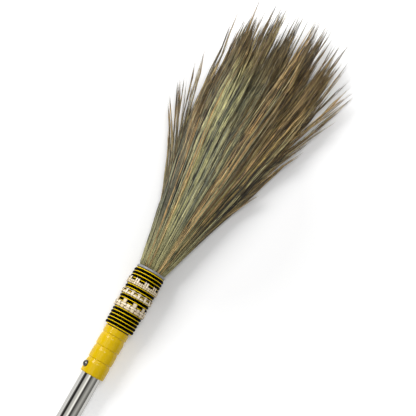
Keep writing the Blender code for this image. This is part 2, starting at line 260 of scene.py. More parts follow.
# Dried grass: every strand's colour comes and goes along it in its own way.
def fillGrass(tree, given):
    look = streakLook
    lengthwise = addNode(tree, "ShaderNodeSeparateXYZ", ((0, placeOnBroom(tree)),)).outputs["Y"]
    own = maths(tree, "MULTIPLY", given["Phase"], look["apart"])

    def streaks(perMetre, seed, detail):
        along = maths(tree, "MULTIPLY", lengthwise, perMetre)
        spot = addNode(tree, "ShaderNodeCombineXYZ", ((0, maths(tree, "ADD", own, seed)), (1, along)))
        return noiseOf(tree, spot.outputs[0], 1.0, detail, 0.6)

    long = remap(tree, streaks(look["long"], 0.0, 2.0), 0.3, 0.7, -1.0, 1.0)
    short = remap(tree, streaks(look["short"], 37.0, 2.0), 0.3, 0.7, -1.0, 1.0)
    both = blend(tree, long, short, look["longShare"])
    factor = maths(tree, "ADD", 1.0, maths(tree, "MULTIPLY", both, given["Contrast"]))
    gapShade = remap(tree, streaks(look["patches"], 91.0, 1.0), 0.57, 0.63, 1.0, given["Dark"])
    rougher = maths(tree, "MULTIPLY", short, look["roughens"])
    return surfaceOf(tree, given, maths(tree, "MULTIPLY", factor, gapShade), rougher, short)


fibreGroup = newGroup("fibreLines", ("Colour", "Stretch", "Contrast", "Roughness", "Relief"), fillFibre)
mouldedGroup = newGroup("mouldedSkin", ("Colour", "Ripple Scale", "Roughness", "Relief"), fillMoulded)
grassInputs = ("Colour", "Phase", "Contrast", "Dark", "Roughness", "Relief")
grassGroup = newGroup("grassStreaks", grassInputs, fillGrass)


# A material that a group gives its colour, roughness and normal. Without a colour it reads the mesh's tint.
def newSurface(name, group, inputs, **values):
    material, tree, shader = newMaterial(name)
    links = list(inputs.items())
    if "Colour" not in inputs:
        tint = addNode(tree, "ShaderNodeAttribute", attribute_name="tint").outputs
        links.append(("Colour", tint["Color"]))
        if group == grassGroup:
            links.append(("Phase", tint["Alpha"]))
    outputs = addNode(tree, "ShaderNodeGroup", links, node_tree=group).outputs
    for output, socket in (("Colour", "Base Color"), ("Roughness", "Roughness"), ("Normal", "Normal")):
        tree.links.new(outputs[output], shader[socket])
    for socket, value in values.items():
        shader[socket.replace("_", " ")].default_value = value
    return material


# Handle: the tube and its end cap.
tubeLook = {
    "wall": 0.9 * mm, "edge": 0.25 * mm, "sides": 160, "lengths": 8,
    "steel": {
        "Colour": colour(180, 179, 175), "Stretch": (700, 9, 700), "Contrast": 0.1, "Roughness": 0.06,
        "Relief": 0.02,
    },
}


def makeTube():
    look = tubeLook
    low, high = reachOf("handle_tube")
    edge, inner, lengths = look["edge"], tubeRadius - look["wall"], look["lengths"]
    outline = [(inner, low + edge), (inner + edge, low), (tubeRadius - edge, low), (tubeRadius, low + edge)]
    outline += [(tubeRadius, low + (high - low) * i / lengths) for i in range(1, lengths)]
    outline += [(tubeRadius, high - edge), (tubeRadius - edge, high)]
    outline += [(inner + edge, high), (inner, high - edge)]
    steel = newSurface("polishedSteel", fibreGroup, look["steel"], Metallic=1.0)
    addPiece("handleTube", turnedMesh(outline, look["sides"], True), steel, ("handle_tube",))


capLook = {
    "wall": 1.2 * mm, "floor": 2.5 * mm, "round": 1.5 * mm, "sides": 128,
    "grooves": (8 * mm, 12 * mm, 16 * mm), "grooveWidth": 1.6 * mm, "grooveDepth": 0.4 * mm, "steps": 8,
    "plastic": {"Colour": colour(228, 190, 12), "Ripple Scale": 900.0, "Roughness": 0.38, "Relief": 0.35},
}


def makeCap():
    look = capLook
    low, high = reachOf("handle_end_cap")
    bore = tubeRadius + fit
    outer = bore + look["wall"]
    rounding, half, steps = look["round"], look["wall"] / 2, look["steps"]
    outline = [(bore, low + look["floor"]), (bore, high - half)]
    outline += arcOf((outer - half, high - half), half, 2, 0, steps)
    for groove in reversed(look["grooves"]):
        for i in range(steps + 1):
            swing = cos(pi * i / steps)
            depth = look["grooveDepth"] * (1 - swing * swing)
            outline.append((outer - depth, low + groove + swing * look["grooveWidth"] / 2))
    outline += arcOf((outer - rounding, low + rounding), rounding, 0, -1, steps)
    plastic = newSurface("capPlastic", mouldedGroup, look["plastic"])
    addPiece("handleEndCap", turnedMesh(outline, look["sides"], False), plastic, ("handle_end_cap",))


# The neck's sleeve, with its grooves and the dished seat of the screw.
sleeveLook = {
    "wall": 2.3 * mm, "gain": 0.3 * mm, "round": 1.5 * mm, "topRound": 0.7 * mm,
    "boreRound": 0.5 * mm, "boreChamfer": 0.3 * mm, "sides": 192, "step": 0.32 * mm,
    "grooves": (0.3, 0.575, 0.85), "grooveWidth": 5.6 * mm, "grooveDepth": 1.15 * mm, "grooveDeepest": 0.8,
    "grooveSlope": 1.3, "grooveWall": 0.6,
    "seatRadius": 4.3 * mm, "seatBlend": 2.4 * mm, "seatDepth": 0.7 * mm,
    "plastic": {"Colour": colour(212, 176, 1), "Ripple Scale": 300.0, "Roughness": 0.12, "Relief": 0.06},
    "gloss": 0.22,
}
screwLook = {
    "place": 0.155, "turn": radians(60), "sides": 64, "headRadius": 4.1 * mm, "headHeight": 3.4 * mm,
    "rimHeight": 0.55 * mm, "rimEdge": 0.15 * mm, "domeSteps": 14, "domeFullness": 0.8,
    "shankRadius": 1.9 * mm, "shankLength": 11 * mm, "point": 2.5 * mm, "pitch": 1.4 * mm,
    "threadDepth": 0.35 * mm, "recessReach": 2.1 * mm, "recessWidth": 0.95 * mm, "recessDepth": 1.5 * mm,
    "recessMouth": 0.5 * mm, "recessTaper": 0.5, "recessTurn": radians(20), "lift": 0.09 * mm,
    "steel": {
        "Colour": colour(104, 102, 100), "Stretch": (900, 900, 900), "Contrast": 0.25, "Roughness": 0.16,
        "Relief": 0.06,
    },
}
sleeveLength = reachOf("neck_sleeve")[1]
sleeveBore = tubeRadius + fit


def sleeveSkin(along):
    return sleeveBore + sleeveLook["wall"] + sleeveLook["gain"] * along / sleeveLength


# How deep the grooves are here: a long slope from the tube's side, then a steep wall.
def grooveSink(along):
    deepest, sunk = sleeveLook["grooveDeepest"], 0
    for share in sleeveLook["grooves"]:
        part = (along - share * sleeveLength) / sleeveLook["grooveWidth"] + deepest
        if 0 < part <= deepest:
            sunk = (part / deepest) ** sleeveLook["grooveSlope"]
        elif deepest < part < 1:
            sunk = ((1 - part) / (1 - deepest)) ** sleeveLook["grooveWall"]
    return sunk * sleeveLook["grooveDepth"]


# The screw's middle on the broom's axis, its way out, and how far out its seat lies.
def screwSeat():
    middle = Vector((0, screwLook["place"] * sleeveLength, 0))
    way = Vector((-sin(screwLook["turn"]), 0, cos(screwLook["turn"])))
    return middle, way, sleeveSkin(middle.y) - sleeveLook["seatDepth"]


def makeSleeve():
    look = sleeveLook
    rounding, topRound, boreRound = look["round"], look["topRound"], look["boreRound"]
    step, blendWidth = look["step"], look["seatBlend"]
    outline = [(sleeveBore, sleeveLength - topRound), (sleeveBore, sleeveLength / 2), (sleeveBore, rounding)]
    outline += arcOf((sleeveBore + boreRound, boreRound), boreRound, -2, -1, 5)
    outline += arcOf((sleeveSkin(0) - rounding, rounding), rounding, -1, 0, 9)
    along = rounding + step
    while along < sleeveLength - topRound - step / 2:
        outline.append((sleeveSkin(along) - grooveSink(along), along))
        along += step
    top = sleeveSkin(sleeveLength)
    outline += arcOf((top - topRound, sleeveLength - topRound), topRound, 0, 1, 6)
    outline.append((sleeveBore + look["boreChamfer"], sleeveLength))
    bm = turnedMesh(outline, look["sides"], True)

    middle, way, seat = screwSeat()
    for vert in bm.verts:
        offset = vert.co - middle
        high = offset.dot(way)
        away = (offset - way * high).length
        if high > seat:
            part = smooth((look["seatRadius"] + blendWidth - away) / blendWidth)
            vert.co -= way * (high - seat) * float(part)
    plastic = newSurface("sleevePlastic", mouldedGroup, look["plastic"], Specular_IOR_Level=look["gloss"])
    addPiece("neckSleeve", bm, plastic, ("neck_sleeve",), sharpAngle=60)


# A tapered cross, set in the head's top.
def crossMesh():
    look = screwLook
    half, reach = look["recessWidth"] / 2, look["recessReach"]
    bm = bmesh.new()
    rings = []
    for rise, size in ((look["recessMouth"], 1), (-look["recessDepth"], look["recessTaper"])):
        ring = []
        for quarter in range(4):
            turn = Matrix.Rotation(quarter * pi / 2, 2)
            for corner in ((reach, -half), (reach, half), (half, half)):
                spot = turn @ Vector(corner) * size
                ring.append(bm.verts.new((spot.x, look["headHeight"] + rise, spot.y)))
        rings.append(ring)
    joinRings(bm, rings, False)
    return bm


def makeScrew():
    look = screwLook
    length, shank, pitch = look["shankLength"], look["shankRadius"], look["pitch"]
    head, height = look["headRadius"], look["headHeight"]
    rim, edge, steps = look["rimHeight"], look["rimEdge"], look["domeSteps"]
    root = shank - look["threadDepth"]
    outline = [(0.15 * mm, -length)]
    for i in range(int((length - 1 * mm) / pitch)):
        start = -length + 0.4 * mm + i * pitch
        taper = min(1, (start + length) / look["point"] + 0.2)
        outline += [(root * taper, start), (shank * taper, start + pitch * 0.5)]
    outline += [(root, -0.5 * mm), (shank, -0.2 * mm), (shank, 0)]
    outline += [(head - edge, 0), (head, edge), (head, rim)]
    for step in range(1, steps):
        turn = step * pi / 2 / steps
        bulge = cos(turn) ** look["domeFullness"]
        outline.append((head * bulge, rim + (height - rim) * sin(turn)))
    body = addObject("screwBody", meshOf("screwBody", turnedMesh(outline, look["sides"], False)))
    cutter = addObject("screwCross", meshOf("screwCross", crossMesh()))
    sink = body.modifiers.new("recess", "BOOLEAN")
    sink.operation, sink.solver, sink.object = "DIFFERENCE", "EXACT", cutter
    bpy.context.view_layer.update()
    cutHead = bmesh.new()
    cutHead.from_mesh(body.evaluated_get(bpy.context.evaluated_depsgraph_get()).to_mesh())
    for made in (body, cutter):
        bpy.data.objects.remove(made)

    middle, way, seat = screwSeat()
    place = Matrix.Translation(middle + way * (seat + look["lift"]))
    aim = Vector((0, 1, 0)).rotation_difference(way).to_matrix().to_4x4()
    cutHead.transform(place @ aim @ Matrix.Rotation(look["recessTurn"], 4, "Y"))
    steel = newSurface("screwSteel", fibreGroup, look["steel"], Metallic=1.0)
    addPiece("sleeveScrew", cutHead, steel, ("sleeve_screw",), sharpAngle=32)


makeTube()
makeCap()
makeSleeve()
makeScrew()
print("handle, cap, sleeve and screw made")


# The ferrule: the core of the windings, painted near black as the shade in the gaps between turns, and its
# grey lip.
ferruleLook = {
    "wall": 1.2 * mm, "step": 1.6 * mm, "gain": 0.8 * mm, "woundLength": 78 * mm, "lipHeight": 2 * mm,
    "lipReach": 4 * mm, "lipRise": 0.9 * mm, "lipRound": 0.9 * mm, "flareDepth": 8 * mm,
    "flareGain": 2.6 * mm, "spigot": 12 * mm, "middle": 0.2 * mm, "sides": 160,
    "lip": {"Colour": colour(134, 134, 137), "Ripple Scale": 500.0, "Roughness": 0.34, "Relief": 0.2},
    "core": {"Colour": colour(24, 22, 20), "Ripple Scale": 500.0, "Roughness": 0.6, "Relief": 0.2},
}
shoulder = sleeveLength + fit
lipUnder = shoulder + ferruleLook["woundLength"]
lipTop = lipUnder + ferruleLook["lipHeight"]


def coreSkin(along):
    share = (along - shoulder) / ferruleLook["woundLength"]
    return tubeRadius + ferruleLook["step"] + ferruleLook["gain"] * share


def makeFerrule():
    look = ferruleLook
    wall, rounding, middle = look["wall"], look["lipRound"], look["middle"]
    lipRadius = coreSkin(lipUnder) + look["lipReach"]
    spigotInner, spigotEnd = tubeRadius - wall, shoulder - look["spigot"]
    flareFrom = lipTop - look["flareDepth"]
    neckBore = coreSkin(flareFrom) - wall
    floorAt = shoulder + wall
    brim = lipTop + look["lipRise"]
    outline = [(middle, shoulder), (spigotInner, shoulder), (spigotInner, spigotEnd), (tubeRadius, spigotEnd)]
    outline += [(tubeRadius, shoulder), (coreSkin(shoulder), shoulder), (coreSkin(lipUnder), lipUnder)]
    outline += arcOf((lipRadius - rounding, lipUnder + rounding), rounding, -1, 0, 8)
    outline += arcOf((lipRadius - rounding, brim - rounding), rounding, 0, 1, 8)
    outline += [(neckBore + look["flareGain"], brim), (neckBore, flareFrom)]
    outline += [(coreSkin(floorAt) - wall, floorAt), (middle, floorAt)]
    bm = turnedMesh(outline, look["sides"], False)
    for face in bm.faces:
        face.material_index = int(face.calc_center_median().y < lipUnder)
    lip = newSurface("ferrulePlastic", mouldedGroup, look["lip"])
    ferrule = addPiece("neckFerrule", bm, lip, ("neck_ferrule",))
    # The core's near-black colour is painted shade for the gaps between the turns.
    ferrule.data.materials.append(newSurface("coreShadePlastic", mouldedGroup, look["core"]))


# The two cords, wound side by side: the black one of three twisted strands, the yellow one plain.
cordLook = {
    "firstRise": 3.9 * mm, "pitch": 4.41 * mm, "levelled": 0.8, "stepsPerTurn": 240,
    "seat": 1.2 * mm, "seatGain": 0.5 * mm, "tuck": 1.6 * mm, "tuckTurns": 0.06,
    "black": {
        "node": "black_cord", "widthShare": 0.405, "height": 1.5 * mm, "lag": 0.0, "endReach": 1.25 * mm,
        "levelEnd": 0.0, "lobes": 3, "lobeDepth": 0.08, "lay": 2.8 * mm, "sides": 18,
        "plastic": {"Colour": colour(2, 2, 2), "Ripple Scale": 1400.0, "Roughness": 0.42, "Relief": 0.25},
        "gloss": 0.015,
    },
    "yellow": {
        "node": "yellow_cord", "widthShare": 0.155, "height": 1 * mm, "lag": 0.5, "endReach": 0.65 * mm,
        "levelEnd": 0.42, "lobes": 0, "lobeDepth": 0.0, "lay": 1 * mm, "sides": 12,
        "plastic": {"Colour": colour(252, 212, 0), "Ripple Scale": 1400.0, "Roughness": 0.3, "Relief": 0.25},
        "gloss": 0.15,
    },
}


# The turns lie nearly level over the neck's top and step up underneath.
def woundAlong(turn, angle):
    levelled = turn - cordLook["levelled"] * sin(angle) / tau
    return shoulder + cordLook["firstRise"] + cordLook["pitch"] * levelled


def turnAt(along):
    return (along - shoulder - cordLook["firstRise"]) / cordLook["pitch"]


# What lies under the cords thickens towards the lip.
def seatAt(along):
    return cordLook["seat"] + cordLook["seatGain"] * (along - shoulder) / ferruleLook["woundLength"]


def windingSkin(along):
    return coreSkin(along) + seatAt(along) + 2 * cordLook["black"]["height"]


# A cord's or wire's section, as a ring of points. Its lobes turn with the twist.
def woundRing(bm, look, angle, centre, along, wide, twist=0.0):
    outward, lobes = outwardAt(angle), look["lobes"]
    ring = []
    for k in range(look["sides"]):
        around = tau * k / look["sides"]
        lobe = 1 - look["lobeDepth"] * (0.5 - 0.5 * cos(lobes * around - twist * lobes))
        spot = outward * (centre + look["height"] * sin(around) * lobe)
        ring.append(bm.verts.new((spot.x, along + wide * cos(around) * lobe, spot.z)))
    return ring


def makeCord(name, look):
    first = turnAt(sleeveLength + fit + look["endReach"])
    highest = lipUnder - fit - look["endReach"]
    last = turnAt(highest) + look["levelEnd"]
    steps = ceil((last - first) * cordLook["stepsPerTurn"])
    wide = cordLook["pitch"] * look["widthShare"]
    bm = bmesh.new()
    rings = []
    for i in range(steps + 1):
        turn = first + (last - first) * i / steps
        angle = tau * (turn + look["lag"])
        along = min(woundAlong(turn, angle), highest)
        centre = coreSkin(along) + seatAt(along) + look["height"]
        nearEnd = min(turn - first, last - turn) / cordLook["tuckTurns"]
        centre -= cordLook["tuck"] * max(0, 1 - nearEnd) ** 2
        twist = tau * turn * tau * coreSkin(along) / look["lay"] / max(1, look["lobes"])
        rings.append(woundRing(bm, look, angle, centre, along, wide, twist))
    joinRings(bm, rings, False)
    plastic = newSurface(name + "Plastic", mouldedGroup, look["plastic"], Specular_IOR_Level=look["gloss"])
    addPiece(name, bm, plastic, (look["node"],), sharpAngle=70)


makeFerrule()
makeCord("blackCord", cordLook["black"])
makeCord("yellowCord", cordLook["yellow"])
print("ferrule and cords made")


# The woven rings. bars: upright strips. The first half of every group reaches the upper edge, the rest
# shortTop. rows: middle and width of the strips that run round. Both in mm.
ringLooks = {
    "wovenRingLower": {
        "node": "woven_ring_lower", "bars": 18, "group": 2, "barShare": 0.8,
        "rows": ((1.8, 2.7), (5.2, 2.7)), "shortTop": 7.1,
    },
    "wovenRingMiddle": {
        "node": "woven_ring_middle", "bars": 28, "group": 2, "barShare": 0.82,
        "rows": ((1.6, 2.5), (5.8, 1.2)), "shortTop": 3.3,
    },
    "wovenRingUpper": {
        "node": "woven_ring_upper", "bars": 40, "group": 4, "barShare": 0.8,
        "rows": ((1.2, 1.8), (3.6, 1.8)), "shortTop": 4.9,
    },
}
# Painted shade: the strips' edges and the parts that pass under are mixed towards the stainAndShade colour;
# the random stains on whole strips are the cane's own.
stripLook = {
    "thick": 0.42 * mm, "weave": 0.8, "gap": 0.16 * mm, "edgeShade": 0.8, "hollowShade": 0.6,
    "edgeDrop": 0.55 * mm, "edgeRun": 1.2 * mm, "topGap": 0.05 * mm, "tuckRun": 0.8 * mm, "tuck": 0.5,
    "barSteps": 16, "barBend": 1.4, "barJitter": 0.012, "shortShare": 0.94,
    "rowSteps": 6, "rowBend": 1.3, "rowDrop": 0.6, "seed": 11,
    "pale": colour(242, 229, 202), "straw": colour(216, 197, 154), "stainAndShade": colour(112, 84, 50),
    "strawShare": 0.9, "stainShare": 0.3,
    "cane": {"Stretch": (2600, 320, 2600), "Contrast": 0.55, "Roughness": 0.5, "Relief": 0.5},
}
# A strip's section with its rounded edges, in half widths and half thicknesses.
stripSection = (
    (-1, -0.4), (-0.9, -1), (0, -1), (0.9, -1), (1, -0.4), (1, 0.2), (0.84, 0.85), (0.62, 1.05),
    (0, 1.15), (-0.62, 1.05), (-0.84, 0.85), (-1, 0.2),
)


def mixColours(one, two, part):
    return tuple(a + (b - a) * part for a, b in zip(one, two))


# One flat strip through stations of (centre, way across, way out, how deep in the weave).
def layStrip(bm, layer, stations, width, tint, looped):
    look = stripLook
    rings = []
    for centre, across, outward, sunk in stations:
        # Painted shade: darker where the strip lies deep in the weave, darker still along its edges.
        shown = mixColours(tint, look["stainAndShade"], look["hollowShade"] * sunk)
        edgeShadeTint = mixColours(shown, look["stainAndShade"], look["edgeShade"])
        ring = []
        for a, b in stripSection:
            vert = bm.verts.new(centre + across * (a * width / 2) + outward * (b * look["thick"] / 2))
            vert[layer] = edgeShadeTint if abs(a) > 0.8 else shown
            ring.append(vert)
        rings.append(ring)
    joinRings(bm, rings, looped)


def makeRing(name, look, material, dice):
    strip = stripLook
    low, high = reachOf(look["node"])
    thick, run, bars = strip["thick"], strip["tuckRun"], look["bars"]
    lift = thick * strip["weave"]
    rows = [(low + centre * mm, width * mm) for centre, width in look["rows"]]
    middle = windingSkin(high) + strip["gap"] + thick
    bm = bmesh.new()
    layer = bm.verts.layers.float_color.new("tint")

    def edgeDrop(along):
        near = min(along - low, high - along) / strip["edgeRun"]
        return strip["edgeDrop"] * max(0, 1 - near) ** 2

    def stripTint():
        tint = mixColours(strip["pale"], strip["straw"], dice.random() * strip["strawShare"])
        return mixColours(tint, strip["stainAndShade"], strip["stainShare"] * dice.random() ** 3)

    # Upright bars, over one row and under the next.
    for bar in range(bars):
        angle = tau * (bar + 0.5) / bars + dice.uniform(-strip["barJitter"], strip["barJitter"])
        across, outward = outwardAt(angle + pi / 2), outwardAt(angle)
        tall = bar % look["group"] < look["group"] / 2
        top = high - strip["topGap"] if tall else low + look["shortTop"] * mm
        stations = []
        for i in range(strip["barSteps"] + 1):
            along = low + (top - low) * i / strip["barSteps"]
            pulls = [max(0, 1 - abs(along - centre) / (width * 0.75)) for centre, width in rows]
            side = sum(pull * (-1) ** (bar + row) for row, pull in enumerate(pulls)) * strip["barBend"]
            side = max(-1, min(1, side))
            ends = min(1, (along - low) / run, (top - along) / run)
            tuck = 0 if tall and along > top - run else (1 - ends) * strip["tuck"]
            radius = middle + side * lift - edgeDrop(along) - tuck * thick
            stations.append((outward * radius + Vector((0, along, 0)), across, outward, max(0, -side)))
        width = tau * middle / bars * look["barShare"]
        layStrip(bm, layer, stations, width * (1 if tall else strip["shortShare"]), stripTint(), False)

    # Strips that run round, under each bar that passes over them.
    for row, (centre, width) in enumerate(rows):
        stations = []
        steps = bars * strip["rowSteps"]
        for i in range(steps):
            outward = outwardAt(tau * (i / steps))
            side = -cos(pi * (i / steps * bars - 0.5 + row))
            bend = max(-1, min(1, side * strip["rowBend"])) * lift
            spot = outward * (middle + bend - edgeDrop(centre) * strip["rowDrop"]) + Vector((0, centre, 0))
            stations.append((spot, Vector((0, 1, 0)), outward, max(0, -side)))
        layStrip(bm, layer, stations, width, stripTint(), True)
    addPiece(name, bm, material, (look["node"],), sharpAngle=75)


caneStrip = newSurface("caneStrip", fibreGroup, stripLook["cane"])
ringDice = np.random.default_rng(stripLook["seed"])
for ringName, ringLook in ringLooks.items():
    makeRing(ringName, ringLook, caneStrip, ringDice)
print("woven rings made")


# The head of grass: tufts of wisps of strands, with a few thicker stems in each tuft.
grassLook = {
    "seed": 23, "tufts": 180, "wispsPerTuft": 10, "strandsPerWisp": 6, "stemsPerTuft": 3, "rings": 11,
    "length": 410 * mm, "rootRadius": 13.2 * mm, "mouthRadius": 16.2 * mm,
    "sweep": 0.095, "rootDepth": 10.5 * mm, "middleRise": 27 * mm, "endRise": 24 * mm, "middleAt": 125 * mm,
    "edgeDroop": 13 * mm, "floorGap": 0.6 * mm, "edgeWisps": 2, "edgeReach": 0.8,
    "rootGreen": 0.8, "rootReach": 90 * mm, "brownRun": 0.5, "allBrownFrom": 0.58, "allBrownRun": 0.18,
    "tuftRadius": 0.085, "strandRadius": 0.42 * mm, "thickening": 0.9, "stemRadius": 0.55 * mm,
    "shortest": 0.66, "reachSpread": 0.37, "ownTints": 0.75, "lateStarts": 0.4, "latestStart": 0.42,
    "straw": {"Contrast": 0.95, "Dark": 0.18, "Roughness": 0.55, "Relief": 0.2},
}
# How strands run: a tuft closes up from pinchFrom on, and its wisps come to a point.
strandLook = {
    "pinchFrom": 0.62, "pinch": 0.55, "pointFrom": 0.6, "point": 0.65, "bendPower": 3,
    "waves": (14, 34), "ripple": (0.15, 0.6), "sway": (0.3, 1.7), "swayShare": 0.3,
    "curl": 0.7, "curlFrom": 0.55, "floorGap": 0.15 * mm,
}
# Half width and lean of the head by the distance from the lip, all in mm.
fanWidths = (
    (0, 16.2), (3, 17.3), (12, 19.6), (24, 22.4), (36, 25.4), (48, 28.2), (71, 34.6), (95, 40.8), (119, 48.5),
    (143, 54.5), (167, 60.5), (190, 66.5), (214, 71.5), (262, 80.0), (310, 88.0), (350, 94.0), (410, 100.0),
)
fanLeans = ((0, 0), (48, 1.8), (95, 3.4), (143, 5.0), (190, 5.2), (238, 8.5), (286, 12.5), (410, 14.0))
# How far the tufts reach, as a share of the length, by the place across the head.
tipShares = (
    (-1, 0.46), (-0.9, 0.6), (-0.8, 0.74), (-0.65, 0.85), (-0.45, 0.93), (-0.1, 0.97), (0.45, 0.98),
    (0.7, 0.91), (0.85, 0.8), (0.93, 0.66), (1, 0.48),
)
# Stray tufts at the two edges, as (across, distance from the lip) of their tips in mm.
edgeTips = (
    (-73, 172), (-84, 196), (-98, 216), (-109, 258), (-99, 247), (-88, 242), (-88, 272), (-91, 302),
    (-72, 360), (-46, 396), (84, 178), (93, 233), (100, 264), (116, 302), (115, 320), (119, 352),
    (107, 360), (90, 402), (81, 400), (84, 380), (66, 372),
)
# Tan stalks that show on top of the head: (u at the root, reach share, thickness share).
topStalks = (
    (-0.3, 0.62, 1.2), (-0.24, 0.5, 0.9), (0.5, 0.52, 1.9), (0.44, 0.6, 1.3), (0.7, 0.6, 1.2),
    (-0.55, 0.5, 1.1),
)
# gapShade strands are painted near black, as the shade in the gaps between strands.
grassTints = {
    "khaki": (176, 170, 124), "greenGrey": (140, 143, 114), "paleKhaki": (200, 194, 146),
    "yellowGreen": (212, 208, 146), "olive": (146, 127, 70), "oliveDark": (88, 76, 42),
    "brown": (152, 128, 88), "tan": (184, 150, 96), "tipDark": (88, 66, 38), "tipPale": (212, 180, 124),
    "gapShade": (30, 27, 18), "root": (166, 160, 110),
}
# Zones across the head, each up to its right end: how light the strands are and how far that spreads, how far
# out they turn brown, and the weights of their colours. The last one is for the stray tufts.
zoneParts = ("right", "level", "spread", "brownFrom", "tints")
zoneRows = (
    (-0.62, 0.56, 0.4, 0.45, {"greenGrey": 4, "khaki": 1, "gapShade": 4, "brown": 1}),
    (-0.37, 0.68, 0.42, 0.5, {"greenGrey": 3.4, "khaki": 1.8, "gapShade": 4, "brown": 1.3}),
    (-0.03, 0.86, 0.24, 0.78,
     {"yellowGreen": 3.4, "paleKhaki": 2.6, "khaki": 2.6, "greenGrey": 1.6, "gapShade": 1.2}),
    (0.25, 0.72, 0.24, 0.75, {"greenGrey": 6, "khaki": 2, "gapShade": 1.6, "paleKhaki": 0.3}),
    (0.55, 0.88, 0.525, 0.45,
     {"khaki": 3, "brown": 2.2, "gapShade": 3, "tan": 0.8, "greenGrey": 1.8, "olive": 1.4}),
    (1.1, 0.975, 0.525, 0.45,
     {"olive": 4.4, "oliveDark": 2.4, "khaki": 1.8, "gapShade": 2.2, "brown": 0.8, "tan": 0.2}),
    (inf, 0.92, 0.525, 0.45, {"brown": 4, "khaki": 3, "tan": 0.5, "olive": 1, "greenGrey": 2}),
)
zones = [dict(zip(zoneParts, row)) for row in zoneRows]
tints = {name: np.array([linear(c) for c in rgb]) for name, rgb in grassTints.items()}
bundleNames = sorted(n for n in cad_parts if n.startswith("grass_bundle"))


def readTable(table, place):
    places, values = zip(*table)
    return np.interp(place, places, values)


# Where the floor lies under the broom's axis, in the broom's own frame.
def floorUnder(along):
    return -(broomAxes.translation.z + along * broomAxes[2][1]) / broomAxes[2][2]


# The fan's cross-section at a distance from the lip: half width, half height, middle height.
def fanSection(reach):
    look = grassLook
    middleAt, middleRise = look["middleAt"], look["middleRise"]
    opened = smooth((reach + look["rootDepth"]) / (look["rootDepth"] + 6 * mm))
    mouth = look["rootRadius"] + (look["mouthRadius"] - look["rootRadius"]) * opened
    half = mouth + readTable(fanWidths, reach / mm) * mm - look["mouthRadius"]
    toMiddle = smooth(reach / middleAt)
    toEnd = np.clip((reach - middleAt) / (look["length"] - middleAt), 0, 1)
    rise = mouth + (middleRise - mouth) * toMiddle + (look["endRise"] - middleRise) * toEnd
    depth = mouth + (-floorUnder(lipTop + reach) - look["floorGap"] - mouth) * toMiddle
    return half, (rise + depth) / 2, (rise - depth) / 2


# Points in the fan from u (across) and v (up), both -1 to 1 on a disc.
def fanPoints(u, v, reach):
    look = grassLook
    half, tall, middle = fanSection(reach)
    x = u * half + readTable(fanLeans, reach / mm) * mm
    x = x - look["sweep"] * np.maximum(reach, 0) * np.clip(1 - u * u, 0, 1) * (0.45 + 0.55 * v)
    z = v * tall + middle - look["edgeDroop"] * u * u * smooth(reach / look["middleAt"])
    return x, z


def zoneAt(u):
    return next(zone for zone in zones if u <= zone["right"])


def drawTints(weights, count, dice):
    names = list(weights)
    odds = np.array([weights[name] for name in names], float)
    picks = dice.choice(len(names), count, p=odds / odds.sum())
    return np.array([tints[names[pick]] for pick in picks])


# How far a value has come from a start towards 1.
def past(value, start):
    return np.clip((value - start) / (1 - start), 0, 1)


# The path of many strands at once, as centres[strand, ring] and radii[strand, ring].
def strandPaths(tuft, heart, offsets, drifts, starts, ends, thickness, dice):
    look, strand = grassLook, strandLook
    count = len(starts)
    part = np.linspace(0, 1, look["rings"])[None, :]
    reach = starts[:, None] + (ends - starts)[:, None] * part
    share = np.clip(reach / look["length"], 0, 1.1)
    ofTuft = reach / tuft["reach"]
    pinch = strand["pinch"] * smooth(past(ofTuft, strand["pinchFrom"]))
    clump = look["tuftRadius"] * (1.2 - 0.15 * smooth(share / 0.3)) * (1 - pinch)
    pointed = 1 - strand["point"] * smooth(past(part, strand["pointFrom"]))
    spot = heart + offsets[:, None, :] * pointed[:, :, None]
    spot = spot + drifts[:, None, :] * smooth(share)[:, :, None]
    u = tuft["u"] + spot[:, :, 0] * clump
    v = tuft["v"] + spot[:, :, 1] * clump
    over = np.maximum(np.hypot(u, v), 1.0)
    u, v = u / over, v / over
    x, z = fanPoints(u, v, reach)
    x = x + tuft["bend"] * np.clip(ofTuft, 0, 1.1) ** strand["bendPower"]
    phase = dice.uniform(0, tau, (count, 4))
    often = dice.uniform(*strand["waves"], (count, 2)) / look["length"] * pi
    waves = reach[:, :, None] * often[:, None, :]
    size = dice.uniform(*strand["ripple"], (count, 1)) * mm * (0.25 + share)
    x = x + size * np.sin(waves[:, :, 0] + phase[:, :1])
    z = z + size * np.sin(waves[:, :, 1] + phase[:, 1:2])
    size = dice.uniform(*strand["sway"], (count, 1)) * mm * (0.1 + share)
    x = x + size * np.sin(waves[:, :, 1] * strand["swayShare"] + phase[:, 2:3])
    curl = dice.normal(0, strand["curl"], (count, 1)) * mm
    x = x + curl * past(part, strand["curlFrom"]) ** 2
    along = lipTop + reach
    taper = 0.8 + 0.35 * np.sin(pi * (part * 0.9 + 0.05)) - 0.25 * smooth(past(part, 0.7))
    radii = thickness[:, None] * taper * (1 + look["thickening"] * share)
    z = np.maximum(z, floorUnder(along) + radii + strand["floorGap"])
    return np.stack([x, along, z], axis=2), radii


def unit(ways):
    return ways / np.linalg.norm(ways, axis=2, keepdims=True)


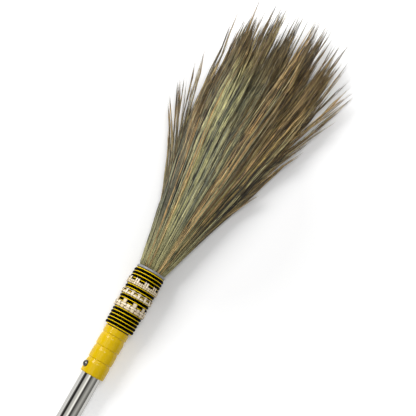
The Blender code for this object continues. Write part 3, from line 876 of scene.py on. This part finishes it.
# Strands as three-sided tapered rods, with the tint held on their points.
def strandMesh(name, centres, radii, colours):
    count, rings, _ = centres.shape
    ways = unit(np.gradient(centres, axis=1))
    side = unit(np.cross(ways, (0, 0, 1)))
    over = np.cross(side, ways)
    turns = [tau * (k / 3 + 0.25) for k in range(3)]
    corners = [centres + radii[:, :, None] * (side * cos(turn) + over * sin(turn)) for turn in turns]
    body = np.stack(corners, axis=2)[:, :-1].reshape(count, (rings - 1) * 3, 3)
    points = np.concatenate([body, centres[:, -1:, :]], axis=1)
    perStrand = points.shape[1]
    last = (rings - 2) * 3
    faces = [(0, 2, 1)]
    for k, after in ((0, 1), (1, 2), (2, 0)):
        faces += [(a + k, a + after, a + after + 3, a + k + 3) for a in range(0, last, 3)]
        faces.append((last + k, last + after, perStrand - 1))
    mesh = bpy.data.meshes.new(name)
    firsts = range(0, count * perStrand, perStrand)
    allFaces = [[first + point for point in face] for first in firsts for face in faces]
    mesh.from_pydata(points.reshape(-1, 3), [], allFaces)
    mesh.shade_smooth()
    # The tint's alpha tells the strands apart.
    phase = np.random.default_rng(count).random((count, 1, 1))
    shown = np.concatenate([colours, np.repeat(phase, rings, axis=1)], axis=2)
    shown = np.concatenate([np.repeat(shown[:, :-1], 3, axis=1), shown[:, -1:]], axis=1)
    tint = mesh.color_attributes.new("tint", "FLOAT_COLOR", "POINT")
    tint.data.foreach_set("color", shown.ravel().astype(np.float32))
    mesh.validate()
    return mesh


# A strand's colour along it: the roots' green, its own tint times its tone and painted shade, and brown at
# the tip.
def strandColours(base, shade, zone, centres, dice):
    look = grassLook
    count = len(base)
    part = np.linspace(0, 1, look["rings"])[None, :, None]
    reach = centres[:, :, 1:2] - lipTop
    tip = tints["tipDark"] + (tints["tipPale"] - tints["tipDark"]) * dice.random((count, 1)) ** 1.4
    far = (reach / look["length"] - look["allBrownFrom"]) / look["allBrownRun"]
    aged = np.maximum((part - zone["brownFrom"]) / look["brownRun"], far)
    browning = smooth(aged) * (0.45 + 0.5 * dice.random((count, 1, 1)))
    own = (base[:, None, :] * (1 - browning) + tip[:, None, :] * browning) * shade
    nearRoot = look["rootGreen"] * (1 - smooth(reach / look["rootReach"]))
    green = tints["root"] * dice.uniform(0.8, 1.25, (count, 1, 1))
    return own * (1 - nearRoot) + green * nearRoot


def growTuft(tuft, wisps, stems, dice):
    look = grassLook
    groups = []
    count = look["strandsPerWisp"]
    for wisp in range(wisps):
        angle = wisp * 2.4 + dice.uniform(-0.4, 0.4)
        heart = np.array([cos(angle), sin(angle)]) * sqrt((wisp + 0.5) / wisps)
        offsets = dice.normal(0, 0.13, (count, 2))
        drifts = dice.normal(0, 0.22, 2) + dice.normal(0, 0.07, (count, 2))
        zone = tuft.get("zone") or zoneAt(tuft["u"] + dice.normal(0, 0.05))
        own = dice.random((count, 1)) < look["ownTints"]
        # Whole wisps never take the painted gap shade.
        shared = {name: weight for name, weight in zone["tints"].items() if name != "gapShade"}
        base = np.where(own, drawTints(zone["tints"], count, dice), drawTints(shared, 1, dice))
        base = base * (zone["level"] + zone["spread"] * dice.uniform(-1, 1, (count, 1)))
        shade = tuft["shade"] * (1 + zone["spread"] * (0.48 - 1.24 * dice.random() ** 1.6))
        late = dice.random(count) < look["lateStarts"]
        lateStarts = dice.uniform(0.0, look["latestStart"], count) * tuft["reach"]
        starts = np.where(late, lateStarts, -look["rootDepth"])
        cut = (0.58 + 0.44 * dice.random() ** 0.7) * (0.88 + 0.13 * dice.random(count))
        ends = tuft["reach"] * (1 - (1 - cut) * tuft.get("uneven", 1))
        thick = look["strandRadius"] * dice.uniform(0.5, 1.4, count) * tuft.get("thin", 1)
        centres, radii = strandPaths(tuft, heart, offsets, drifts, starts, ends, thick, dice)
        groups.append((centres, radii, strandColours(base, shade, zone, centres, dice)))

    if not stems:
        return groups
    offsets = dice.normal(0, 0.5, (stems, 2))
    drifts = dice.normal(0, 0.25, (stems, 2))
    ends = tuft["reach"] * dice.uniform(0.5, 0.82, stems)
    thick = look["stemRadius"] * dice.uniform(0.7, 1.2, stems)
    zone = zoneAt(tuft["u"])
    base = drawTints(zone["tints"], stems, dice) * dice.uniform(0.8, 1.2, (stems, 1)) * zone["level"]
    starts = np.full(stems, -look["rootDepth"])
    centres, radii = strandPaths(tuft, np.zeros(2), offsets, drifts, starts, ends, thick, dice)
    groups.append((centres, radii, strandColours(base, tuft["shade"], zone, centres, dice)))
    return groups


# A small tuft whose tip stands at a given place beyond the edge of the head.
def growEdge(across, distance, dice):
    ends = min(distance * mm, 0.99 * grassLook["length"])
    out = abs(across - readTable(fanLeans, distance)) / readTable(fanWidths, distance)
    u = copysign(min(grassLook["edgeReach"], out), across)
    natural = float(fanPoints(u, 0.1, np.array(ends))[0])
    tuft = {
        "u": u, "v": 0.1, "reach": ends, "bend": across * mm - natural, "shade": 1.0, "zone": zones[-1],
        "thin": 0.7, "uneven": 0.35,
    }
    return growTuft(tuft, grassLook["edgeWisps"], 0, dice)


def growStalks(dice):
    look = grassLook
    groups = []
    count = 2
    for u, reachShare, thick in topStalks:
        tuft = {"u": u, "v": sqrt(1 - u * u) * 0.97, "bend": 0.0, "reach": look["length"]}
        offsets = dice.normal(0, 0.12, (count, 2))
        ends = look["length"] * reachShare * dice.uniform(0.9, 1.1, count)
        radii = look["stemRadius"] * thick * dice.uniform(0.6, 1.0, count)
        starts, drifts = np.full(count, -look["rootDepth"]), np.zeros((count, 2))
        centres, widths = strandPaths(tuft, np.zeros(2), offsets, drifts, starts, ends, radii, dice)
        base = tints["tan"] * dice.uniform(0.7, 1.1, (count, 1))
        groups.append((centres, widths, np.repeat(base[:, None, :], look["rings"], axis=1)))
    return groups


# Where each CAD bundle's roots stand across the broom, in units of the whole head's root.
def bundleHearts():
    hearts = []
    for node in bundleNames:
        spots = np.array([onBroom @ vert.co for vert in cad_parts[node].data.vertices])
        roots = spots[spots[:, 1] < spots[:, 1].min() + 1 * mm]
        hearts.append(roots.mean(axis=0)[[0, 2]])
    hearts = np.array(hearts)
    return hearts / (np.linalg.norm(hearts, axis=1).max() * 1.3)


def makeGrass():
    look = grassLook
    dice = np.random.default_rng(look["seed"])
    hearts = bundleHearts()
    grown = [[] for node in bundleNames]

    def bundleAt(u, v):
        return grown[int(np.argmin(np.linalg.norm(hearts - np.array([u, v]), axis=1)))]

    for i in range(look["tufts"]):
        away = sqrt((i + 0.5) / look["tufts"]) * 0.955
        angle = i * pi * (3 - sqrt(5)) + dice.uniform(-0.05, 0.05)
        u, v = away * cos(angle), away * sin(angle)
        longest = look["length"] * float(readTable(tipShares, u))
        # A tuft's shade is its own tone times painted shade: tufts lower in the head are darker.
        tuft = {
            "u": u, "v": v, "reach": longest * (look["shortest"] + look["reachSpread"] * dice.random()),
            "bend": dice.normal(0, 4.0) * mm, "shade": dice.uniform(0.82, 1.15) * (0.85 + 0.2 * v),
        }
        bundleAt(u, v).extend(growTuft(tuft, look["wispsPerTuft"], look["stemsPerTuft"], dice))
    grown[int(np.argmax(hearts[:, 1]))] += growStalks(dice)
    for across, distance in edgeTips:
        bundleAt(copysign(1, across), 0.1).extend(growEdge(across, distance, dice))

    straw = newSurface("driedGrass", grassGroup, look["straw"])
    for node, groups in zip(bundleNames, grown):
        centres, radii, colours = (np.concatenate(part) for part in zip(*groups))
        name = "grassBundle" + node[-2:]
        mesh = strandMesh(name, centres, radii, colours)
        placePiece(name, mesh, straw, (node,))
        print(name, len(centres), "strands,", len(mesh.polygons), "faces")


# The binding wire: several close turns of flattened wire round the roots.
wireLook = {
    "turns": 4, "radius": 0.25 * mm, "height": 0.1 * mm, "halfWidth": 0.075 * mm, "pitch": 0.16 * mm,
    "steps": 96, "sides": 8, "lobes": 0, "lobeDepth": 0.0,
    "steel": {
        "Colour": colour(150, 150, 150), "Stretch": (900, 900, 900), "Contrast": 0.3, "Roughness": 0.35,
        "Relief": 0.3,
    },
}


def makeWire():
    look = wireLook
    low, high = reachOf("root_binding_wire")
    centre = radiusOf("root_binding_wire") - look["radius"]
    bm = bmesh.new()
    rings = []
    for i in range(look["turns"] * look["steps"] + 1):
        turn = i / look["steps"]
        along = (low + high) / 2 + (turn - look["turns"] / 2) * look["pitch"]
        rings.append(woundRing(bm, look, tau * turn, centre, along, look["halfWidth"]))
    joinRings(bm, rings, False)
    steel = newSurface("bindingWire", fibreGroup, look["steel"], Metallic=1.0)
    addPiece("rootBindingWire", bm, steel, ("root_binding_wire",), sharpAngle=70)


makeGrass()
makeWire()
print("grass and wire made")


# Floor, world, lamps and camera. Lamps: (place, aim, size, power).
stageLook = {
    "floorSize": 9.0, "floorColour": (0.95, 0.95, 0.95, 1), "floorRoughness": 0.9, "ambient": 0.42,
    "sweepCentre": (0.0, 0.3, 0.0), "sweepStart": 0.13, "sweepEnd": 0.75, "sweepGlow": 0.95,
    "lamps": {
        "keyLamp": ((-1.1, 0.5, 1.0), (0, 0.2, 0), 0.7, 16.0),
        "topLamp": ((0.0, 0.5, 1.8), (0, 0.15, 0), 0.5, 8.0),
    },
}
# The studio as polished metal shows it: (turn from below by the left, brightness).
studioBands = (
    (0.0, 0.9), (0.235, 0.92), (0.262, 0.62), (0.282, 0.24), (0.3, 0.05), (0.335, 0.03), (0.352, 0.1),
    (0.374, 0.88), (0.41, 1.1), (0.436, 1.25), (0.448, 2.0), (0.476, 2.0), (0.489, 0.5), (0.5, 0.16),
    (0.535, 0.1), (0.556, 0.38), (0.588, 0.6), (0.615, 0.86), (0.64, 0.75), (0.68, 0.38), (0.715, 0.24),
    (0.745, 0.4), (0.78, 0.8), (1.0, 0.9),
)
bandTint = (1.0, 0.99, 0.95)
cameraLook = {
    "eye": (0, 21.9 * mm, 1040 * mm), "aim": (21.8 * mm, 245.7 * mm, 20 * mm),
    "roll": radians(60.9), "focalPixels": 840, "imagePixels": 416, "sensor": 36,
}


# Whether the camera sees a point directly, and whether in a mirror or through glass.
def raysOf(tree):
    path = addNode(tree, "ShaderNodeLightPath").outputs
    return path["Is Camera Ray"], maths(tree, "MAXIMUM", path["Is Glossy Ray"], path["Is Transmission Ray"])


def makeFloor():
    look = stageLook
    bm = bmesh.new()
    bmesh.ops.create_grid(bm, x_segments=8, y_segments=8, size=look["floorSize"] / 2)
    floor = addObject("studioFloor", meshOf("studioFloor", bm))
    material, tree, shader = newMaterial("floorPaper")
    shader["Base Color"].default_value = look["floorColour"]
    shader["Roughness"].default_value = look["floorRoughness"]
    shader["Specular IOR Level"].default_value = 0.0
    seen = maths(tree, "MAXIMUM", *raysOf(tree))
    # The paper glows more away from the broom, painted light that whitens it, and near it keeps the shadow.
    links = ((0, placeOnBroom(tree)), (1, look["sweepCentre"]))
    away = addNode(tree, "ShaderNodeVectorMath", links, operation="DISTANCE").outputs["Value"]
    sweep = remap(tree, away, look["sweepStart"], look["sweepEnd"], 0.0, look["sweepGlow"])
    glow = addNode(tree, "ShaderNodeEmission", (("Strength", maths(tree, "MULTIPLY", seen, sweep)),))
    paper = tree.nodes["Principled BSDF"].outputs[0]
    added = addNode(tree, "ShaderNodeAddShader", ((0, paper), (1, glow.outputs[0]))).outputs[0]
    tree.links.new(added, tree.nodes["Material Output"].inputs["Surface"])
    floor.data.materials.append(material)


# The world lights the broom evenly, looks white, and shows its bands to what mirrors it.
def makeWorld():
    world = bpy.data.worlds.new("studio")
    bpy.context.scene.world = world
    world.use_nodes = True
    tree = world.node_tree
    background = tree.nodes["Background"]
    way = addNode(tree, "ShaderNodeTexCoord").outputs["Generated"]
    parts = addNode(tree, "ShaderNodeSeparateXYZ", ((0, way),)).outputs
    angle = maths(tree, "ARCTAN2", parts["X"], parts["Z"])
    ramp = addNode(tree, "ShaderNodeValToRGB", ((0, remap(tree, angle, -pi, pi, 0.0, 1.0)),))
    stops = ramp.color_ramp.elements
    while len(stops) < len(studioBands):
        stops.new(0.5)
    brightest = max(level for _, level in studioBands)
    for stop, (place, level) in zip(stops, studioBands):
        stop.position = place
        stop.color = (*(level / brightest * channel for channel in bandTint), 1)
    direct, mirrored = raysOf(tree)

    def mixed(share, first, second):
        links = ((0, share), (6, first), (7, second))
        return addNode(tree, "ShaderNodeMix", links, data_type="RGBA").outputs[2]

    plain = mixed(direct, (stageLook["ambient"],) * 3 + (1,), (1, 1, 1, 1))
    tree.links.new(mixed(mirrored, plain, ramp.outputs[0]), background.inputs["Color"])
    tree.links.new(remap(tree, mirrored, 0.0, 1.0, 1.0, brightest), background.inputs["Strength"])


def makeLamp(name, place, aim, size, power):
    data = bpy.data.lights.new(name, "AREA")
    data.shape, data.size, data.energy = "SQUARE", size, power
    lamp = addObject(name, data)
    lamp.location = place
    lamp.rotation_euler = (Vector(aim) - Vector(place)).to_track_quat("-Z", "Y").to_euler()
    lamp.visible_camera = False


def makeCamera():
    look = cameraLook
    data = bpy.data.cameras.new("camera")
    data.sensor_width = look["sensor"]
    data.lens = look["focalPixels"] * look["sensor"] / look["imagePixels"]
    data.clip_start, data.clip_end = 0.01, 100
    camera = addObject("camera", data)
    sleeveEnd = Vector((*broomAxes.translation.xy, 0))
    eye, aim = sleeveEnd + Vector(look["eye"]), sleeveEnd + Vector(look["aim"])
    forward = (aim - eye).normalized()
    up = Vector((-cos(look["roll"]), sin(look["roll"]), 0))
    up = (up - forward * up.dot(forward)).normalized()
    right = forward.cross(up)
    camera.matrix_world = Matrix.Translation(eye) @ Matrix((right, up, -forward)).transposed().to_4x4()
    bpy.context.scene.camera = camera


makeFloor()
makeWorld()
for lampName, settings in stageLook["lamps"].items():
    makeLamp(lampName, *settings)
makeCamera()
bpy.context.scene.view_settings.view_transform = "Standard"
print("stage, lamps and camera made")
